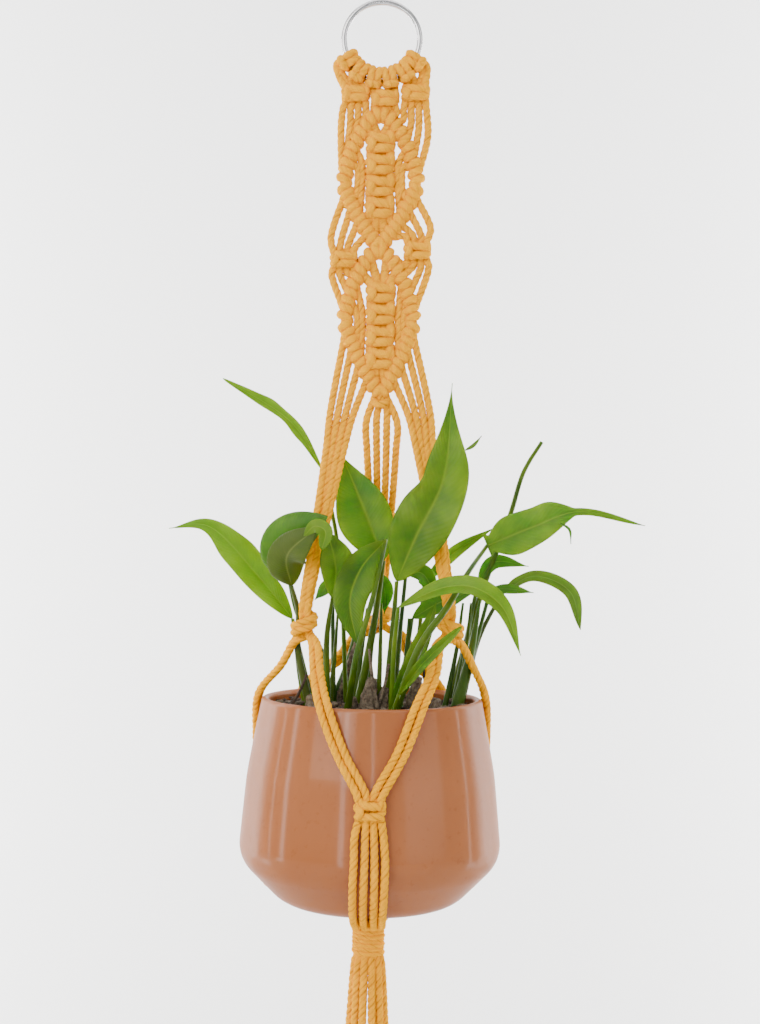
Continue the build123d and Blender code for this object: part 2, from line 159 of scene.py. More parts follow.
class Shell:
    """Gathers closed solids, each a run of equal rings of points, with a value at each point."""

    def __init__(self):
        self.vertices, self.faces, self.values = [], [], []

    def close(self, rings, values, ends, forward):
        """Adds a solid; ends are the values in the middle of its first and last ring, and forward says
        that the rings run counterclockwise as seen from the solid's far end."""
        base, count = len(self.vertices), len(rings[0])
        for ring, row in zip(rings, values):
            self.vertices.extend(ring)
            self.values.extend(row)

        def edges(i):
            return [(base + i * count + k, base + i * count + (k + 1) % count) for k in range(count)]

        for i in range(len(rings) - 1):
            for a, b in edges(i):
                self.faces.append((a, b, b + count, a + count) if forward else (a, a + count, b + count, b))
        for i, flip, value in ((0, forward, ends[0]), (len(rings) - 1, not forward, ends[1])):
            middle = len(self.vertices)
            self.vertices.append(np.mean(rings[i], axis=0))
            self.values.append(value)
            self.faces.extend((b, a, middle) if flip else (a, b, middle) for a, b in edges(i))


def circle(middle, across, other, first, second, turn=0):
    """A ring of points round a middle, from their distances in two directions and a first turn."""
    angles = np.arange(len(first)) * tau / len(first) + turn
    return middle + (np.cos(angles) * first)[:, None] * across + (np.sin(angles) * second)[:, None] * other


def ply_profile():
    """Directions and radii round a rope of plies that bulge between grooves, and each point's depth."""
    offset, ply = 0.36, 0.64  # from the rope's middle to a ply's, and a ply's radius
    angles = np.arange(RING_POINTS) * tau / RING_POINTS
    from_ply = (angles + pi / PLIES) % (tau / PLIES) - pi / PLIES
    radii = offset * np.cos(from_ply) + np.sqrt(ply**2 - (offset * np.sin(from_ply)) ** 2)
    return angles, radii, (1 - radii) / (1 - radii.min())


class Rope(Shell):
    """Gathers lengths of twisted cord and makes one object of them."""

    def add(self, line, radius, start, plump):
        """A closed length of cord along evenly spaced points (x, y, z); start is its place on the cord,
        and plump is how far its plies have opened and filled their grooves, 0 to 1."""
        if len(line) < 3:
            return
        _, across, other = frames(line)
        arc = start + arc_length(line)
        angles, radii, depth = ply_profile()
        radius, plump = np.broadcast_to(radius, len(line)), np.broadcast_to(plump, len(line))
        rings, values = [], []
        for p, n, b, s, r, full in zip(line, across, other, arc, radius, plump):
            section = r * (radii + (1 - radii) * full)
            rings.append(circle(p, n, b, section, section, tau * s / LAY))
            # the second number holds the place round the cord, and ten times the depth in the grooves
            # the cord material darkens the cord by this depth, as painted shade in the grooves
            values.append([
                (cos(a) * CORD_RADIUS, sin(a) * CORD_RADIUS + 10 * g * (1 - full), s)
                for a, g in zip(angles, depth)
            ])
        self.close(rings, values, [(0, 0, arc[0]), (0, 0, arc[-1])], True)

    def make(self, name):
        return new_object(name, self.vertices, self.faces, CORD, "fibre", self.values)


# Materials ------------


class Skin:
    """A node material that is being put together, and its shader."""

    def __init__(self, name, **sockets):
        self.material = bpy.data.materials.new(name)
        self.material.use_nodes = True
        self.shader = self.material.node_tree.nodes["Principled BSDF"]
        self.feed(**sockets)

    def connect(self, socket, value):
        """Gives a socket another node's output, or a number or tuple of its own."""
        if isinstance(value, bpy.types.NodeSocket):
            self.material.node_tree.links.new(value, socket)
        else:
            socket.default_value = value

    def feed(self, **sockets):
        """Connects the shader's sockets; an underscore stands for a space."""
        for key, value in sockets.items():
            self.connect(self.shader.inputs[key.replace("_", " ")], value)

    def node(self, kind, inputs=None, **settings):
        node = self.material.node_tree.nodes.new("ShaderNode" + kind)
        for key, value in settings.items():
            setattr(node, key, value)
        for key, value in (inputs or {}).items():
            self.connect(node.inputs[key], value)
        return node

    def place(self):
        return self.node("TexCoord").outputs["Object"]

    def attribute(self, name):
        return self.node("Attribute", attribute_name=name).outputs["Vector"]

    def noise(self, vector, scale, detail, roughness=0.5):
        values = {"Vector": vector, "Scale": scale, "Detail": detail, "Roughness": roughness}
        return self.node("TexNoise", values).outputs["Fac"]

    def calculate(self, operation, *terms, clamp=False):
        node = self.node("Math", dict(enumerate(terms)), operation=operation, use_clamp=clamp)
        return node.outputs[0]

    def ramp(self, source, *stops):
        """Colours along a factor; each stop is (place, colour)."""
        node = self.node("ValToRGB", {"Fac": source})
        elements = node.color_ramp.elements
        while len(elements) < len(stops):
            elements.new(0.5)
        for element, (place, colour) in zip(elements, stops):
            element.position = place
            element.color = (*colour, 1)
        return node.outputs["Color"]

    def mix(self, blend, factor, a, b):
        inputs = {"Factor": factor, 6: a, 7: b}
        return self.node("Mix", inputs, data_type="RGBA", blend_type=blend).outputs[2]

    def relief(self, height, strength, distance):
        """Bumps the surface by a height."""
        bump = self.node("Bump", {"Strength": strength, "Distance": distance, "Height": height})
        self.feed(Normal=bump.outputs["Normal"])


WHITE = (1, 1, 1)


def cord_material():
    skin = Skin(
        "cord_cotton", Roughness=0.9, Specular_IOR_Level=0, Sheen_Weight=0.04, Sheen_Roughness=0.5,
        Sheen_Tint=(1, 0.62, 0.1, 1),
    )
    fibre = skin.attribute("fibre")
    parts = skin.node("SeparateXYZ", {"Vector": fibre})
    # the depth in the grooves between the plies, the mask of the painted shade below
    groove_shade_mask = skin.calculate("DIVIDE", parts.outputs["Y"], 10 + CORD_RADIUS, clamp=True)
    stretched = skin.node("Mapping", {"Vector": fibre, "Scale": (1.6, 1.6, 0.28)})
    yarn = skin.noise(stretched.outputs[0], 1.9, 5, 0.65)
    body = skin.ramp(
        yarn, (0.25, (0.72, 0.285, 0.001)), (0.55, (0.93, 0.41, 0.001)), (0.8, (1, 0.515, 0.002))
    )
    along = skin.ramp(skin.noise(fibre, 0.06, 2), (0.3, (0.84, 0.8, 0.72)), (0.7, WHITE))
    # painted shade: the cord is darkened in the grooves between its plies
    deep = skin.ramp(groove_shade_mask, (0.35, WHITE), (0.85, (0.62, 0.5, 0.36)))
    dyed = skin.mix("MULTIPLY", 0.5, body, along)
    skin.feed(Base_Color=skin.mix("MULTIPLY", 1, dyed, deep))
    skin.relief(yarn, 0.55, 0.0004)
    return skin.material


def glaze_material():
    skin = Skin(
        "pot_glaze", Roughness=0.34, Specular_IOR_Level=0.01, Coat_Weight=0.08, Coat_Roughness=0.12,
        Coat_IOR=2.6,
    )
    place = skin.place()
    body = skin.ramp(skin.noise(place, 9, 3), (0.3, (0.276, 0.089, 0.029)), (0.7, (0.322, 0.11, 0.04)))
    speck = skin.ramp(skin.noise(place, 260, 4), (0.28, (0.82, 0.78, 0.76)), (0.4, WHITE))
    skin.feed(Base_Color=skin.mix("MULTIPLY", 0.6, body, speck))
    skin.relief(skin.noise(place, 22, 2), 0.12, 0.0008)
    return skin.material


def ring_material():
    skin = Skin("ring_steel", Metallic=1)
    wear = skin.noise(skin.place(), 420, 4)
    tone = skin.ramp(wear, (0.3, (0.52, 0.51, 0.51)), (0.7, (0.66, 0.65, 0.65)))
    rough = skin.node("MapRange", {"Value": wear, "To Min": 0.1, "To Max": 0.26})
    skin.feed(Base_Color=tone, Roughness=rough.outputs["Result"])
    return skin.material


def soil_material(name, dark, light, scale):
    skin = Skin(name, Roughness=0.95, Specular_IOR_Level=0.25)
    grain = skin.noise(skin.place(), scale, 6, 0.7)
    skin.feed(Base_Color=skin.ramp(grain, (0.35, dark), (0.7, light)))
    skin.relief(grain, 0.9, 0.0015)
    return skin.material


def leaf_material(name, dark, light, rib):
    """A leaf's skin: the attribute holds the place across (-1 to 1) and along (0 to 1)."""
    skin = Skin(
        name, Roughness=0.44, Specular_IOR_Level=0.17, Subsurface_Weight=0.12, Subsurface_Scale=0.004,
        Subsurface_Radius=(0.5, 1, 0.2),
    )
    parts = skin.node("SeparateXYZ", {"Vector": skin.attribute("blade")})
    across = skin.calculate("ABSOLUTE", parts.outputs["X"])
    # side veins run out from the midrib and forward
    lane = skin.calculate("SUBTRACT", parts.outputs["Y"], skin.calculate("MULTIPLY", across, 0.16))
    vein = skin.calculate("SINE", skin.calculate("MULTIPLY", lane, 190))
    place = skin.place()
    body = skin.ramp(skin.noise(place, 45, 3), (0.3, dark), (0.7, light))
    veined = skin.mix("MULTIPLY", 0.8, body, skin.ramp(vein, (0.55, WHITE), (1, (1.05, 1.06, 1))))
    midrib = skin.ramp(across, (0, WHITE), (0.05, (0.35, 0.35, 0.35)), (0.1, (0, 0, 0)))
    skin.feed(Base_Color=skin.mix("MIX", midrib, veined, (*rib, 1)))
    cells = skin.noise(place, 900, 3)
    skin.relief(skin.calculate("MULTIPLY_ADD", cells, 0.25, vein), 0.18, 0.0003)
    return skin.material


CORD = cord_material()
LEAF = leaf_material("leaf", (0.018, 0.056, 0.001), (0.076, 0.124, 0.001), (0.112, 0.165, 0.004))
# the leaf colour darkened as painted shade, for leaf_03, the young leaves deep in the clump and the stalks
# among them
LEAF_PAINTED_SHADE = leaf_material("leaf_dark", (0.016, 0.052, 0.002), (0.044, 0.096, 0.005), (0.07, 0.13, 0.012))
# the leaf colour lightened as painted light, for leaf_01, leaf_02, leaf_08 and the tip of leaf_03
LEAF_PAINTED_LIGHT = leaf_material("leaf_painted_light", (0.052, 0.115, 0.001), (0.098, 0.165, 0.002), (0.14, 0.22, 0.01))
LEAF_OLIVE = leaf_material("leaf_underside", (0.032, 0.054, 0.004), (0.058, 0.08, 0.008), (0.1, 0.13, 0.022))
SOIL = soil_material("potting_mix", (0.018, 0.011, 0.007), (0.085, 0.055, 0.035), 320)
BARK = soil_material("bark", (0.05, 0.035, 0.022), (0.24, 0.19, 0.13), 420)

for node, material in (("ring", ring_material()), ("pot", glaze_material())):
    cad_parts[node].data.materials.clear()
    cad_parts[node].data.materials.append(material)

# Knots: each gives one strand's points (x, w, z) ------------


def larks_head(angle, side):
    """Half of a mounting knot: from the middle of its bar up behind the wire, over it and down behind
    the bar. Its template is (along the wire, out from the wire's circle, w)."""
    a = radians(angle)
    template = [
        (0, 5.4, 5.6), (1.5, 5.4, 5.5), (2.9, 5, 3.6), (3, 4, 0.4), (2.8, 2.8, -3), (2.5, -0.6, -4.6),
        (2.4, -3.8, -2.8), (2.3, -4.7, 0.4), (2.3, -3, 3.6), (2.2, 0.4, 4.6), (2, 3.4, 3.2), (2, 5.6, 1),
        (2.1, 8.4, 0),
    ]
    points = []
    for u, v, w in template:
        r, u = RING_RADIUS + v, side * u
        z = RING_CENTRE_Z - r * cos(a) + u * sin(a)
        points.append((r * sin(a) + u * cos(a), w, z))
    return points


# one strand of a square knot of width 2 and height 10: (x, w, fall)
TYING = [
    (-0.95, 0.8, 0.3), (-0.5, 3.4, 1.7), (0, 4.2, 2.3), (0.55, 3.5, 2.5), (0.98, 0.3, 3.5), (1.05, -0.8, 5),
    (0.9, 1.8, 6.4), (0.5, 3.7, 6.8), (0, 4.2, 6.9), (-0.45, 3, 7), (-0.85, 0.2, 7.8), (-0.95, -0.3, 9.2),
]
LOOPING = [
    (0.95, 1.6, 0), (1.05, 2.5, 1.9), (0.9, -1.4, 4.2), (0.4, -4, 4), (-0.4, -4, 3.2), (-0.85, -1.8, 2.5),
    (-1.06, 1.4, 3.1), (-0.86, 4.5, 4.1), (-0.84, 4.6, 5.6), (-1, 2, 7.1), (-0.85, -1.9, 7.9),
    (-0.4, -4, 7.7), (0.4, -4, 7.7), (0.9, -1.6, 7.9), (1, 0.2, 9.2),
]
FILLING = [(0.33, -0.3, 0.5), (0.34, -0.7, 5), (0.33, -0.3, 9.5)]


def square_knot(role, x, top, height, half=6.2):
    """The points of strand 0 to 3 of a square knot, hung at (x, top)."""
    template = (TYING, FILLING, FILLING, LOOPING)[role]
    mirror = -1 if role == 1 else 1
    return [(x + mirror * u * half, w, top - f * height / 10) for u, w, f in template]


# The band's two diamonds: top, side and bottom heights, and how far each side reaches from the middle
DIAMONDS = {
    1: (-66, -111, -149.5, {"left": -22.6, "right": 23.5}),
    2: (-150.5, -196, -241, {"left": -20.8, "right": 22.2}),
}
BOTTOM_X = {1: 0, 2: 2.4}
BULGE = {"upper": 0.6, "lower": 0.25}  # 0 is a straight rib, 1 a quarter of an ellipse
HITCHES = 5  # strands that wrap each rib
HITCH_TURN = 540  # degrees round the holding cord for one strand
HOLDER_DISTANCE = 2.7  # from the middle of the holding cord to the middle of a hitch
HITCH_POINTS = 19
RIB_STEP = 0.5


class Rib:
    """A row of diagonal hitches along a holding cord, from a diamond's middle to its side or back."""

    def __init__(self, diamond, side, half):
        top, side_z, bottom, reach = DIAMONDS[diamond]
        end_x, end_z = (0, top) if half == "upper" else (BOTTOM_X[diamond], bottom)
        points = []
        for step in range(7):
            share = step / 6
            angle = share * pi / 2
            straight = (1 - BULGE[half]) * share
            out = BULGE[half] * sin(angle) + straight
            drop = BULGE[half] * (1 - cos(angle)) + straight
            points.append((end_x + (reach[side] - end_x) * out, 0, end_z + (side_z - end_z) * drop))
        if half == "lower":
            points.reverse()
        self.line, _ = smooth(points, RIB_STEP)
        self.tangent, _, _ = frames(self.line)
        self.entry = 1 if (side == "left") == (half == "upper") else -1  # the side that strands come from
        self.length = len(self.line) * RIB_STEP

    def at(self, distance):
        """The point at a distance along the rib, and the direction across it."""
        i = min(max(distance / self.length, 0), 1) * (len(self.line) - 1)
        k = min(int(i), len(self.line) - 2)
        p = self.line[k] + (self.line[k + 1] - self.line[k]) * (i - k)
        t = self.tangent[k]
        return p, np.array([t[2], 0, -t[0]]) * self.entry

    def hitch(self, order):
        """Two turns round the holding cord for one strand, in order from the rib's start."""
        pitch = self.length / HITCHES / 2
        middle = (order + 0.5) * self.length / HITCHES
        points = []
        for step in range(HITCH_POINTS):
            turn = step / (HITCH_POINTS - 1)
            angle = radians(HITCH_TURN * turn)
            p, normal = self.at(middle + (turn - 0.5) * 1.5 * pitch)
            q = p + normal * HOLDER_DISTANCE * cos(angle)
            points.append((q[0], HOLDER_DISTANCE * sin(angle), q[2]))
        return points


# Strands ------------


class Strand:
    """One cord's points from the ring down, each with the name of the feature it belongs to."""

    def __init__(self):
        self.points, self.features = [], []

    def add(self, feature, points):
        self.points.extend(points)
        self.features.extend([feature] * len(points))


def polar(radius, azimuth, z):
    """(x, w, z) from a distance to the pot's axis and a direction in degrees, seen from above."""
    a = radians(azimuth)
    return (radius * cos(a), -radius * sin(a), z)


strands = [Strand() for _ in range(12)]
SIDES = ("left", "right")
LEVELS = {1: "upper", 2: "lower"}  # where each diamond sits
BAND_X = 2.4  # the band's middle
ARM_STRANDS = {"left": [0, 1, 2, 3], "right": [8, 9, 10, 11], "back": [4, 6, 5, 7]}

# mounting knots
for i, strand in enumerate(strands):
    strand.add("larks_heads", larks_head(HEAD_ANGLES[i // 2], 1 if i % 2 else -1))

# first row of square knots: middle, top and height of each
ROW = {"left": (-15.8, -51.2, 9.6), "centre": (BAND_X, -53.4, 10), "right": (21.2, -50, 9.8)}
for group, (name, (x, top, height)) in enumerate(ROW.items()):
    for role in range(4):
        strands[4 * group + role].add(f"square_knot_{name}", square_knot(role, x, top, height))

# which strand of each half meets a rib, from the middle outwards, and which one the rib holds
INNER_TO_OUTER = {"left": [4, 3, 2, 1, 0], "right": [7, 8, 9, 10, 11]}
holding = {"left": 5, "right": 6}

# down to the upper ribs
NECK_PITCH = 4.7
for i, strand in enumerate(strands):
    if i in holding.values():
        continue
    x = BAND_X + (i - 5.5) * NECK_PITCH
    low = DIAMONDS[1][0] - 1 - 0.09 * abs(x) ** 1.75  # where the strand meets the upper rib
    points = [(x, 0.4, -64.5)]
    if low < -70:
        points.append((x + {0: -1.5, 11: 1.5}.get(i, 0) * 0.7, 0.3, (low - 64) / 2))
    strand.add("neck_strands", points)

# columns of square knots inside the diamonds and side knots between them: middle, top and height of a knot
SENNITS = {1: (0.1, -80, 13.4), 2: (1.6, -172.5, 13.6)}
SENNIT_ROLES = {"left": {3: 0, 4: 1}, "right": {7: 2, 8: 3}}
SENNIT_KNOTS = 4
SIDE_KNOTS = {"left": (-21.6, -153.8, 9.8), "right": (23.8, -147, 11.6)}
SIDE_PITCH = 4.9
for number, level in LEVELS.items():
    x, top, height = SENNITS[number]
    for side in SIDES:
        feature = f"rib_{side}_{number}"
        upper, lower = Rib(number, side, "upper"), Rib(number, side, "lower")
        for order, i in enumerate(INNER_TO_OUTER[side]):
            strands[i].add(feature, upper.hitch(order))
        for i, role in SENNIT_ROLES[side].items():
            for knot in range(SENNIT_KNOTS):
                strands[i].add(f"sennit_{level}", square_knot(role, x, top - knot * height, height))
        sign = -1 if side == "left" else 1
        for step, i in enumerate(INNER_TO_OUTER[side][2:4]):
            z = (top + (top - SENNIT_KNOTS * height)) / 2
            strands[i].add(f"inner_strands_{level}", [
                (x + sign * (11.3 + 3.2 * step), 0.8, z + 9 - 2 * step),
                (x + sign * (11.4 + 3.4 * step), 0.4, z - 9 - 2 * step),
            ])
        for order, i in enumerate(reversed(INNER_TO_OUTER[side])):
            strands[i].add(feature, lower.hitch(order))
        for line in (upper.line, lower.line):
            strands[holding[side]].add(feature, [(p[0], 0, p[2]) for p in line[6:-6:10]])
    # the holding cords cross below the first diamond
    holding = {"left": holding["right"], "right": holding["left"]}
    if level == "lower":
        break
    for side, (x, top, height) in SIDE_KNOTS.items():
        for role, i in enumerate(ARM_STRANDS[side]):
            column = x + (role - 1.5) * SIDE_PITCH
            lean = {0: -0.8, 11: 0.8}.get(i, 0)
            strands[i].add("side_strands", [(column + lean, 0.3, top + (9 if lean else 4))])
            strands[i].add(f"side_knot_{side}", square_knot(role, x, top, height, 6))
            strands[i].add("side_strands", [(column, 0.3, top - height - 3)])

# Tie: two crossing cords under the lower diamond, one looped round the other
strands[5].add("tie", [(2.6, 1.6, -243.5), (5.6, 0.6, -247.5), (6.7, 0, -252.5)])
strands[6].add("tie", [
    (4.2, -2, -243), (6.2, 0.5, -245.2), (4.6, 4, -247), (1.2, 4.6, -247.6), (-1.2, 1.5, -246.2),
    (-0.4, -2.6, -245.2), (3.4, -3.6, -247), (1.2, -1.5, -250), (0.5, -0.4, -253.5),
])

# Arms: four cords each, from the ribs to the knots round the pot. ARMS is each arm's direction and distance
# from the pot's axis at its knot, and HALF_WIDTHS half its width at the SHARES of its length.
ARM_KNOT_Z = -383
ARMS = {"left": (210, 48), "right": (330, 54), "back": (85, 49)}
ARM_TOPS = {"left": (-21.5, -254), "right": (26.8, -254), "back": (3.4, -258)}
HALF_WIDTHS = {"left": (7.2, 5.6, 3.2, 1.9), "right": (6.9, 5.3, 3, 1.8), "back": (9.5, 9, 5.6, 2.4)}
SHARES = (0, 0.16, 0.6, 0.94)
BUNDLE = [(-2.3, 2.2), (-2.1, -2.3), (2.1, 2.3), (2.3, -2.2)]
for name, (azimuth, distance) in ARMS.items():
    foot = polar(distance, azimuth, ARM_KNOT_Z + 8.5)
    x, top = ARM_TOPS[name]
    for lane, i in enumerate(ARM_STRANDS[name]):
        for share, half in zip(SHARES, HALF_WIDTHS[name]):
            across = x + (foot[0] - x) * share + (lane - 1.5) / 1.5 * half
            deep = foot[1] * share + BUNDLE[lane][1] * share**1.5 + rng.uniform(-0.3, 0.3)
            strands[i].add(f"arm_{name}", [(across, deep, top + (foot[2] - top) * share)])

# Arm knots: one pair loops round the other, and each pair leaves towards its own side of the pot
LOOP = [
    (-1, 1, -6.5), (3.4, -3.6, -4.6), (6, -0.6, -3), (4.4, 4.4, -1.6), (-0.6, 6.4, 0.2), (-5, 4, 1.8),
    (-6.2, -1, 3), (-3.4, -4.6, 3.8), (0.6, -3.8, 5.2),
]


def arm_knot(lane, loop_side):
    """Points (sideways, w, rise) of one strand through an arm knot; the looping pair is on loop_side."""
    if lane in ((0, 1) if loop_side < 0 else (2, 3)):
        shift, size = (-1.98, 1) if lane in (0, 3) else (1.98, 0.97)
        return [(-loop_side * u * size, w * size, -(f + shift)) for u, w, f in LOOP]
    u, w = BUNDLE[lane]
    lean = loop_side * 0.8
    return [(u * 0.8, w * 0.9, 5), (u * 0.6 - lean, w * 0.8, 0), (u * 0.7 - 2 * lean, w * 0.8, -5)]


for name, (azimuth, distance) in ARMS.items():
    x, w, z = polar(distance, azimuth, ARM_KNOT_Z)
    for lane, i in enumerate(ARM_STRANDS[name]):
        points = [(x + u, w + v, z + rise) for u, v, rise in arm_knot(lane, 1 if name == "right" else -1)]
        strands[i].add(f"arm_knot_{name}", points)

# Basket: from the arm knots over the rim to a square knot on the pot's wall, then under the pot.
# Each side has its direction and the two pairs that meet there, with the arms they come from.
BASKET = {
    "front": (270, [("left", [2, 3]), ("right", [8, 9])]),
    "right": (30, [("right", [10, 11]), ("back", [5, 7])]),
    "left": (150, [("back", [6, 4]), ("left", [0, 1])]),
}
RIM_TURN = 37  # degrees round the rim from an arm to where its pair crosses
KNOT_TOP = -479.3
KNOT_HEIGHT = 12.6
STAND_OFF = 2.7
# (distance from the axis, height, share of the group's width), from the shoulder to the foot
UNDER_THE_POT = [(84, -528, 1), (72.4, -548.4, 0.95), (50, -558.8, 0.85), (26, -559.4, 0.8)]
# (distance from the axis, height), inside the wrap
GATHERED = [(12.5, -562), (8, -569), (6.8, -578)]


def wall_radius(z):
    """The pot's outer radius at a height between the rim and the shoulder."""
    (r0, z0), (r1, z1), (r2, z2) = POT_WALL
    if z > z1:
        return r0 + (r1 - r0) * (z0 - z) / (z0 - z1)
    return r1 + (r2 - r1) * (z1 - z) / (z1 - z2)


def around(azimuth, radius, sideways, z):
    """(x, w, z) of a point at a distance sideways from a radius of the pot."""
    x, w, _ = polar(radius, azimuth, z)
    sx, sw, _ = polar(sideways, azimuth + 90, z)
    return (x + sx, w + sw, z)


for name, (azimuth, pairs) in BASKET.items():
    knot_radius = wall_radius(KNOT_TOP - KNOT_HEIGHT) + STAND_OFF
    # a pair arrives on each side: its outer cord ties, its inner cord fills
    for side, (arm, pair) in zip((-1, 1), pairs):
        arm_azimuth, arm_distance = ARMS[arm]
        for lane, i in zip((-0.5, 0.5), pair):
            place = side + lane  # -1.5 to 1.5 across the basket knot
            rim_azimuth = azimuth + side * (60 - RIM_TURN) + degrees(lane * 5.4 / RIM_RADIUS)
            start = arm_azimuth - side * RIM_TURN / 2.4 + degrees(lane * 4.6 / arm_distance)
            turn = (rim_azimuth - start + 180) % 360 - 180
            middle_z = (POT_RIM_Z + KNOT_TOP) / 2
            half = (rim_azimuth + azimuth + degrees(place * 5 / knot_radius)) / 2
            strands[i].add(f"basket_pairs_{name}", [
                polar(arm_distance + 1.5, start, -394),
                polar(arm_distance + 8.5, start + turn * 0.42, -409),
                polar(RIM_RADIUS + STAND_OFF + 0.3, rim_azimuth, POT_RIM_Z + 1),
                polar(wall_radius(middle_z) + STAND_OFF, half, middle_z),
                around(azimuth, wall_radius(KNOT_TOP) + STAND_OFF, place * 5.2, KNOT_TOP + 3.5),
            ])
    members = [i for _, pair in pairs for i in pair]
    for role, i in enumerate(members):
        points = []
        for u, w, z in square_knot(role, 0, KNOT_TOP, KNOT_HEIGHT, 6.6):
            # the knot stands on the pot: its back is squeezed against the wall
            points.append(around(azimuth, wall_radius(z) + 3.6 + (w if w > 0 else 0.35 * w), u, z))
        strands[i].add(f"basket_knot_{name}", points)
        lane = role - 1.5
        low = []
        for radius, z, share in UNDER_THE_POT:
            out = radius + rng.uniform(0, 0.4)
            low.append(around(azimuth, out, 6 * lane * share + rng.uniform(-0.5, 0.5), z))
        strands[i].add(f"lower_cords_{name}", [
            around(azimuth, wall_radius(-500) + STAND_OFF, lane * 5.4 + rng.uniform(-0.4, 0.4), -500),
            around(azimuth, wall_radius(-514) + STAND_OFF, lane * 5.9 + rng.uniform(-0.5, 0.5), -514),
            *low,
            *(polar(radius, azimuth + lane * 30, z) for radius, z in GATHERED),
        ])

# Cord pieces: each strand is smoothed whole, then cut where its feature changes ------------

# feature, named after the CAD node that it stands for: its visible piece
PIECES = {}
for feature, piece, names in (
    ("larks_heads", "mounting_knots", [""]),
    ("flexing", "flexing_cords", [""]),  # stands for no node
    ("square_knot_{}", "square_knot_{}_cords", ROW),
    ("neck_strands", "neck_cords", [""]),
    ("rib_{}", "rib_{}_hitches", [f"{side}_{number}" for number in DIAMONDS for side in SIDES]),
    ("sennit_{}", "sennit_{}_knots", LEVELS.values()),
    ("inner_strands_{}", "inner_cords_{}", LEVELS.values()),
    ("side_knot_{}", "side_knot_{}_cords", SIDES),
    ("side_strands", "side_cords", [""]),
    ("{}", "{}_cords", ["tie", *(knot + name for name in ARMS for knot in ("arm_", "arm_knot_"))]),
):
    PIECES.update({feature.format(name): piece.format(name) for name in names})
for name in BASKET:
    PIECES[f"basket_pairs_{name}"] = f"basket_cords_{name}"
    PIECES[f"basket_knot_{name}"] = f"basket_knot_{name}_cords"
    PIECES[f"lower_cords_{name}"] = f"under_pot_cords_{name}"


def knot_size(feature):
    """The cord's radius and how far its plies open at a feature."""
    return next((size for start, size in KNOT_SIZES.items() if feature.startswith(start)), LOOSE)


def feature_at(features, place):
    """The feature at a place between two points; a loose stretch reaches up to the knot beside it."""
    k = min(int(place), len(features) - 2)
    above, below = features[k], features[k + 1]
    if above == below or knot_size(above) == LOOSE:
        return above
    if knot_size(below) == LOOSE:
        return below
    return above if place - k < 0.5 else below


def in_world(line):
    """(x, y, z) from (x, w, z)."""
    return np.column_stack([line[:, 0], -line[:, 1], line[:, 2]])


def softened(column):
    """Sizes along a strand, each the mean of its neighbourhood."""
    reach = 5
    weights = np.ones(2 * reach + 1) / (2 * reach + 1)
    return np.convolve(np.pad(column, reach, mode="edge"), weights, mode="valid")


BAR_POINTS = 20  # the first points of a strand are its mounting knot's bar
ropes = {feature: Rope() for feature in PIECES}
for strand in strands:
    line, place = smooth(strand.points)
    world = in_world(line)
    labels = [feature_at(strand.features, p) for p in place]
    # the flexing lengths lie across the fore-and-aft joint
    for k, z in enumerate(line[:, 2]):
        if k > BAR_POINTS and labels[k] == "larks_heads" and FLEX_BOTTOM < z < FLEX_TOP:
            labels[k] = "flexing"
    radius, plump = (softened(column) for column in np.array([knot_size(name) for name in labels]).T)
    arc = rng.uniform(0, LAY) + arc_length(world)
    first = 0
    for k in range(1, len(labels) + 1):
        if k == len(labels) or labels[k] != labels[first]:
            span = slice(first, min(k, len(labels) - 1) + 1)
            ropes[labels[first]].add(world[span], radius[span], arc[first], plump[span])
            first = k

for feature, piece in PIECES.items():
    obj = ropes[feature].make(piece)
    if feature == "flexing":
        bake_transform(obj)
    else:
        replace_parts(obj, feature)
        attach(obj, "ring_knots" if feature == "larks_heads" else "hanger")

# Wrap: turns of cord round the gathered strands ------------

WRAP_TOP = -570.4
WRAP_BOTTOM = -587.4
WRAP_TURNS = 6.6
WRAP_POINTS = 200
coil = []
for share in np.linspace(0, 1, WRAP_POINTS):
    radius = 8.6 + 0.25 * sin(7 * share * pi)
    coil.append(polar(radius, 250 + 360 * WRAP_TURNS * share, WRAP_TOP + (WRAP_BOTTOM - WRAP_TOP) * share))
wrap_rope = Rope()
wrap_rope.add(in_world(smooth(coil, 0.8)[0]), 1.7, 3, 0.4)
wrap = wrap_rope.make("wrap_turns")
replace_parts(wrap, "wrap")
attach(wrap, "hanger")

# Tassel: twelve free strands ------------

TASSEL_TOP = -594
TASSEL_RADIUS = 2.6  # the cords loosen once they hang free
# each route: the height of its first free point, then (distance from the axis, direction, height)
TASSEL = [
    [-628, (14, 11, -676), (16, 17, -728), (18, 12, -784), (18.5, 16, -829)],
    [-630, (13.5, 47, -680), (16.5, 44, -734), (17, 49, -790), (18.5, 46, -836)],
    [-626, (14.5, 74, -672), (15.5, 79, -724), (18, 76, -780), (17.5, 80, -827)],
    [-631, (14, 108, -679), (16.5, 104, -731), (17, 108, -788), (19, 105, -833)],
    [-627, (14.5, 133, -674), (16, 138, -727), (18.5, 134, -782), (18, 138, -830)],
    [-629, (14.2, 168, -678), (17, 163, -732), (17.5, 168, -787), (19, 164, -834)],
    [-630, (15, 192, -675), (16, 198, -729), (18.5, 193, -785), (18, 197, -831)],
    [-627, (14, 228, -677), (17, 223, -730), (17.5, 229, -786), (19.2, 225, -835)],
    [-629, (14.8, 252, -673), (15.8, 258, -726), (18.2, 254, -781), (17.8, 258, -828)],
    [-628, (14, 288, -678), (16.8, 283, -733), (17.2, 289, -789), (19, 285, -836)],
    [-631, (14.6, 312, -676), (15.8, 318, -728), (18.4, 313, -783), (18, 317, -829)],
    [-627, (13.8, 348, -674), (16.6, 343, -730), (17.4, 348, -786), (18.8, 344, -832)],
]


